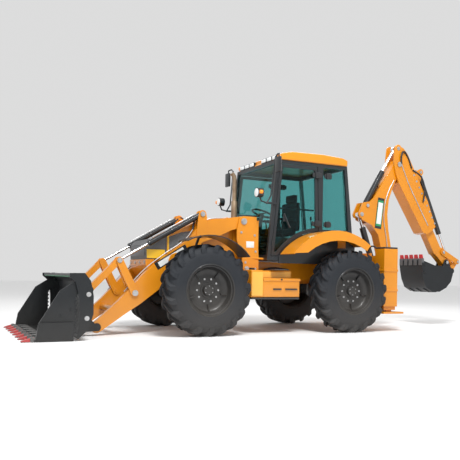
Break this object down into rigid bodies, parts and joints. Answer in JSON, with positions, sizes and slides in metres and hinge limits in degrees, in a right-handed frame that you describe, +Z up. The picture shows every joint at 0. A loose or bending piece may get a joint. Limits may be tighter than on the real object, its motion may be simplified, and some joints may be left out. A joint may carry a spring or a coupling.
{
  "type": "backhoe loader",
  "caption": "Wheeled backhoe loader with a clam front bucket, glazed cab, side-shift backhoe with a telescopic dipper and two stabilisers.",
  "frame": {"origin": "on the ground, under the middle of the whole machine, on its centre plane", "axes": "+X forward towards the loader bucket, +Y to the operator's left, +Z up; all four tyres stand on Z = 0"},
  "size_m": [8.5839, 2.4, 3.4635],
  "materials": {
    "main_frame": "gloss amber-orange paint",
    "front_axle": "black paint",
    "rear_axle": "black paint",
    "engine_block": "grey paint",
    "fuel_tank_and_battery_box": "gloss amber-orange paint",
    "hydraulic_tank": "gloss amber-orange paint",
    "cab_frame": "charcoal paint",
    "cab_roof": "gloss amber-orange paint",
    "windscreen": "tinted glass",
    "rear_cab_glass": "tinted glass",
    "operator_seat": "black cloth",
    "exhaust_pipe": "dull steel",
    "mirror_and_lamp_left": "charcoal paint",
    "mirror_and_lamp_right": "charcoal paint",
    "rear_fenders": "gloss amber-orange paint",
    "backhoe_frame": "gloss amber-orange paint",
    "nose_grille": "grey paint",
    "engine_hood": "gloss amber-orange paint",
    "door_left": "charcoal paint",
    "door_glass_left": "tinted glass",
    "door_right": "charcoal paint",
    "door_glass_right": "tinted glass",
    "front_knuckle_left": "black paint",
    "wheel_front_left": "worn rubber",
    "wheel_rear_left": "worn rubber",
    "front_knuckle_right": "black paint",
    "wheel_front_right": "worn rubber",
    "wheel_rear_right": "worn rubber",
    "loader_arm_left": "gloss amber-orange paint",
    "loader_arm_right": "gloss amber-orange paint",
    "lift_barrel_left": "black paint",
    "lift_barrel_right": "black paint",
    "lift_rod_left": "chromed rod",
    "lift_rod_right": "chromed rod",
    "tilt_barrel_left": "black paint",
    "tilt_barrel_right": "black paint",
    "tilt_rod_left": "chromed rod",
    "tilt_rod_right": "chromed rod",
    "tilt_lever_left": "gloss amber-orange paint",
    "tilt_lever_right": "gloss amber-orange paint",
    "tilt_link_left": "gloss amber-orange paint",
    "tilt_link_right": "gloss amber-orange paint",
    "loader_bucket": "black paint",
    "clam_jaw": "black paint",
    "stabiliser_leg_left": "gloss amber-orange paint",
    "stabiliser_leg_right": "gloss amber-orange paint",
    "swing_carriage": "gloss amber-orange paint",
    "swing_post": "gloss amber-orange paint",
    "boom": "gloss amber-orange paint",
    "boom_barrel": "black paint",
    "boom_rod": "chromed rod",
    "dipper_barrel": "black paint",
    "dipper_rod": "chromed rod",
    "dipper": "gloss amber-orange paint",
    "dipper_extension": "gloss amber-orange paint",
    "dig_barrel": "black paint",
    "dig_rod": "chromed rod",
    "dig_rocker": "gloss amber-orange paint",
    "dig_push_link": "gloss amber-orange paint",
    "dig_bucket": "black paint"
  },
  "bodies": {
    "chassis": {"main_frame": "main_frame", "front_axle": "front_axle", "rear_axle": "rear_axle", "engine_block": "engine_block", "fuel_tank_and_battery_box": "fuel_tank_and_battery_box", "hydraulic_tank": "hydraulic_tank", "cab_frame": "cab_frame", "cab_roof": "cab_roof", "windscreen": "windscreen", "rear_cab_glass": "rear_cab_glass", "operator_seat": "operator_seat", "exhaust_pipe": "exhaust_pipe", "mirror_and_lamp_left": "mirror_and_lamp_left", "mirror_and_lamp_right": "mirror_and_lamp_right", "rear_fenders": "rear_fenders", "backhoe_frame": "backhoe_frame"},
    "hood": {"nose_grille": "nose_grille", "engine_hood": "engine_hood"},
    "door_left": {"door_left": "door_left", "door_glass_left": "door_glass_left"},
    "door_right": {"door_right": "door_right", "door_glass_right": "door_glass_right"},
    "knuckle_left": {"front_knuckle_left": "front_knuckle_left"},
    "wheel_front_left": {"wheel_front_left": "wheel_front_left"},
    "wheel_rear_left": {"wheel_rear_left": "wheel_rear_left"},
    "knuckle_right": {"front_knuckle_right": "front_knuckle_right"},
    "wheel_front_right": {"wheel_front_right": "wheel_front_right"},
    "wheel_rear_right": {"wheel_rear_right": "wheel_rear_right"},
    "loader_arms": {"loader_arm_left": "loader_arm_left", "loader_arm_right": "loader_arm_right"},
    "lift_barrels": {"lift_barrel_left": "lift_barrel_left", "lift_barrel_right": "lift_barrel_right"},
    "lift_rods": {"lift_rod_left": "lift_rod_left", "lift_rod_right": "lift_rod_right"},
    "tilt_barrels": {"tilt_barrel_left": "tilt_barrel_left", "tilt_barrel_right": "tilt_barrel_right"},
    "tilt_rods": {"tilt_rod_left": "tilt_rod_left", "tilt_rod_right": "tilt_rod_right"},
    "tilt_levers": {"tilt_lever_left": "tilt_lever_left", "tilt_lever_right": "tilt_lever_right"},
    "tilt_links": {"tilt_link_left": "tilt_link_left", "tilt_link_right": "tilt_link_right"},
    "loader_bucket": {"loader_bucket": "loader_bucket"},
    "clam_jaw": {"clam_jaw": "clam_jaw"},
    "stabiliser_left": {"stabiliser_leg_left": "stabiliser_leg_left"},
    "stabiliser_right": {"stabiliser_leg_right": "stabiliser_leg_right"},
    "carriage": {"swing_carriage": "swing_carriage"},
    "swing_post": {"swing_post": "swing_post"},
    "boom": {"boom": "boom"},
    "boom_barrel": {"boom_barrel": "boom_barrel"},
    "boom_rod": {"boom_rod": "boom_rod"},
    "dipper_barrel": {"dipper_barrel": "dipper_barrel"},
    "dipper_rod": {"dipper_rod": "dipper_rod"},
    "dipper": {"dipper": "dipper"},
    "dipper_extension": {"dipper_extension": "dipper_extension"},
    "dig_barrel": {"dig_barrel": "dig_barrel"},
    "dig_rod": {"dig_rod": "dig_rod"},
    "dig_rocker": {"dig_rocker": "dig_rocker"},
    "dig_push_link": {"dig_push_link": "dig_push_link"},
    "dig_bucket": {"dig_bucket": "dig_bucket"}
  },
  "joints": [
    {"name": "front_left_steer", "type": "hinge", "parent": "chassis", "child": "knuckle_left", "pos_m": [1.655, 0.92, 0.6825], "axis": [0, 0, 1], "range_deg": [-20, 20]},
    {"name": "front_right_steer", "type": "hinge", "parent": "chassis", "child": "knuckle_right", "pos_m": [1.655, -0.92, 0.6825], "axis": [0, 0, 1], "range_deg": [-20, 20]},
    {"name": "front_left_wheel_spin", "type": "hinge", "parent": "knuckle_left", "child": "wheel_front_left", "pos_m": [1.655, 0.979, 0.6825], "axis": [0, 1, 0], "continuous": true},
    {"name": "front_right_wheel_spin", "type": "hinge", "parent": "knuckle_right", "child": "wheel_front_right", "pos_m": [1.655, -0.979, 0.6825], "axis": [0, 1, 0], "continuous": true},
    {"name": "rear_left_wheel_spin", "type": "hinge", "parent": "chassis", "child": "wheel_rear_left", "pos_m": [-0.919, 0.979, 0.6825], "axis": [0, 1, 0], "continuous": true},
    {"name": "rear_right_wheel_spin", "type": "hinge", "parent": "chassis", "child": "wheel_rear_right", "pos_m": [-0.919, -0.979, 0.6825], "axis": [0, 1, 0], "continuous": true},
    {"name": "hood_lift", "type": "hinge", "parent": "chassis", "child": "hood", "pos_m": [0.703, 0, 1.8], "axis": [0, -1, 0], "range_deg": [0, 40]},
    {"name": "door_left_swing", "type": "hinge", "parent": "chassis", "child": "door_left", "pos_m": [0.356, 0.744, 2], "axis": [0.1002, 0, -0.995], "range_deg": [0, 75]},
    {"name": "door_right_swing", "type": "hinge", "parent": "chassis", "child": "door_right", "pos_m": [0.356, -0.744, 2], "axis": [-0.1002, 0, 0.995], "range_deg": [0, 75]},
    {"name": "loader_lift", "type": "hinge", "parent": "chassis", "child": "loader_arms", "pos_m": [0.847, 0, 1.776], "axis": [0, -1, 0], "range_deg": [-2, 62]},
    {"name": "lift_barrel_swing", "type": "hinge", "parent": "chassis", "child": "lift_barrels", "pos_m": [0.788, 0, 1.02], "axis": [0, -1, 0], "range_deg": [-2.85, 73.31]},
    {"name": "lift_rod_slide", "type": "slide", "parent": "lift_barrels", "child": "lift_rods", "axis": [0.9994, 0, 0.0351], "range_m": [-0.0274, 0.7303]},
    {"name": "bucket_tilt", "type": "hinge", "parent": "loader_arms", "child": "loader_bucket", "pos_m": [3.183, 0, 0.125], "axis": [0, -1, 0], "range_deg": [-50, 32]},
    {"name": "tilt_lever_swing", "type": "hinge", "parent": "loader_arms", "child": "tilt_levers", "pos_m": [2.621, 0, 0.622], "axis": [0, -1, 0], "range_deg": [-72.9, 46.84]},
    {"name": "tilt_link_swing", "type": "hinge", "parent": "tilt_levers", "child": "tilt_links", "pos_m": [2.862, 0, 1.103], "axis": [0, -1, 0], "range_deg": [-59.2, 92.22]},
    {"name": "tilt_barrel_swing", "type": "hinge", "parent": "loader_arms", "child": "tilt_barrels", "pos_m": [1.558, 0, 1.855], "axis": [0, -1, 0], "range_deg": [-4.31, 2.94]},
    {"name": "tilt_rod_slide", "type": "slide", "parent": "tilt_barrels", "child": "tilt_rods", "axis": [0.8663, 0, -0.4996], "range_m": [-0.2799, 0.435]},
    {"name": "clam_open", "type": "hinge", "parent": "loader_bucket", "child": "clam_jaw", "pos_m": [3.498, 0, 0.785], "axis": [0, -1, 0], "range_deg": [0, 60]},
    {"name": "carriage_shift", "type": "slide", "parent": "chassis", "child": "carriage", "axis": [0, 1, 0], "range_m": [-0.42, 0.42]},
    {"name": "boom_swing", "type": "hinge", "parent": "carriage", "child": "swing_post", "pos_m": [-2.052, 0, 0.9], "axis": [0, 0, -1], "range_deg": [-90, 90]},
    {"name": "boom_lower", "type": "hinge", "parent": "swing_post", "child": "boom", "pos_m": [-2.512, 0, 0.98], "axis": [0, -1, 0], "range_deg": [-2, 54]},
    {"name": "boom_barrel_swing", "type": "hinge", "parent": "swing_post", "child": "boom_barrel", "pos_m": [-2.292, 0, 0.9], "axis": [0, -1, 0], "range_deg": [-3.34, 77.07]},
    {"name": "boom_rod_slide", "type": "slide", "parent": "boom_barrel", "child": "boom_rod", "axis": [0.3503, 0, 0.9367], "range_m": [-0.0116, 0.2081]},
    {"name": "dipper_out", "type": "hinge", "parent": "boom", "child": "dipper", "pos_m": [-2.677, 0, 3.087], "axis": [0, 1, 0], "range_deg": [-2, 100]},
    {"name": "dipper_barrel_swing", "type": "hinge", "parent": "boom", "child": "dipper_barrel", "pos_m": [-1.972, 0, 2.26], "axis": [0, 1, 0], "range_deg": [-0.73, 11.94]},
    {"name": "dipper_rod_slide", "type": "slide", "parent": "dipper_barrel", "child": "dipper_rod", "axis": [-0.5156, 0, 0.8568], "range_m": [-0.4621, 0.0132]},
    {"name": "dipper_extend", "type": "slide", "parent": "dipper", "child": "dipper_extension", "axis": [-0.5132, 0, -0.8583], "range_m": [0, 0.85]},
    {"name": "dig_bucket_curl", "type": "hinge", "parent": "dipper_extension", "child": "dig_bucket", "pos_m": [-3.952, 0, 1.244], "axis": [0, 1, 0], "range_deg": [-4, 104]},
    {"name": "dig_rocker_swing", "type": "hinge", "parent": "dipper_extension", "child": "dig_rocker", "pos_m": [-3.857, 0, 1.445], "axis": [0, 1, 0], "range_deg": [-3.48, 78]},
    {"name": "dig_push_swing", "type": "hinge", "parent": "dig_rocker", "child": "dig_push_link", "pos_m": [-4.242, 0, 1.262], "axis": [0, 1, 0], "range_deg": [-71.85, 3.24]},
    {"name": "dig_barrel_swing", "type": "hinge", "parent": "dipper_extension", "child": "dig_barrel", "pos_m": [-3.272, 0, 3], "axis": [0, 1, 0], "range_deg": [-0.69, 5.36]},
    {"name": "dig_rod_slide", "type": "slide", "parent": "dig_barrel", "child": "dig_rod", "axis": [-0.4257, 0, -0.9049], "range_m": [-0.1598, 0.01]},
    {"name": "stabiliser_left_lower", "type": "slide", "parent": "chassis", "child": "stabiliser_left", "axis": [0, 0, -1], "range_m": [0, 0.6]},
    {"name": "stabiliser_right_lower", "type": "slide", "parent": "chassis", "child": "stabiliser_right", "axis": [0, 0, -1], "range_m": [0, 0.6]}
  ],
  "couplings": [
    {"joint": "front_right_steer", "follows": "front_left_steer", "ratio": 1},
    {"joint": "lift_barrel_swing", "follows": "loader_lift", "ratio": 0.78295},
    {"joint": "lift_rod_slide", "follows": "loader_lift", "m_per_rad": 0.66852},
    {"joint": "tilt_lever_swing", "follows": "bucket_tilt", "ratio": 0.96537},
    {"joint": "tilt_link_swing", "follows": "bucket_tilt", "ratio": -1.2229},
    {"joint": "tilt_barrel_swing", "follows": "bucket_tilt", "ratio": 0.050794},
    {"joint": "tilt_rod_slide", "follows": "bucket_tilt", "m_per_rad": -0.49198},
    {"joint": "boom_barrel_swing", "follows": "boom_lower", "ratio": 0.94535},
    {"joint": "boom_rod_slide", "follows": "boom_lower", "m_per_rad": 0.21565},
    {"joint": "dipper_barrel_swing", "follows": "dipper_out", "ratio": 0.076287},
    {"joint": "dipper_rod_slide", "follows": "dipper_out", "m_per_rad": -0.26144},
    {"joint": "dig_rocker_swing", "follows": "dig_bucket_curl", "ratio": 0.49676},
    {"joint": "dig_push_swing", "follows": "dig_bucket_curl", "ratio": -0.45737},
    {"joint": "dig_barrel_swing", "follows": "dig_bucket_curl", "ratio": 0.03114},
    {"joint": "dig_rod_slide", "follows": "dig_bucket_curl", "m_per_rad": -0.085475}
  ]
}
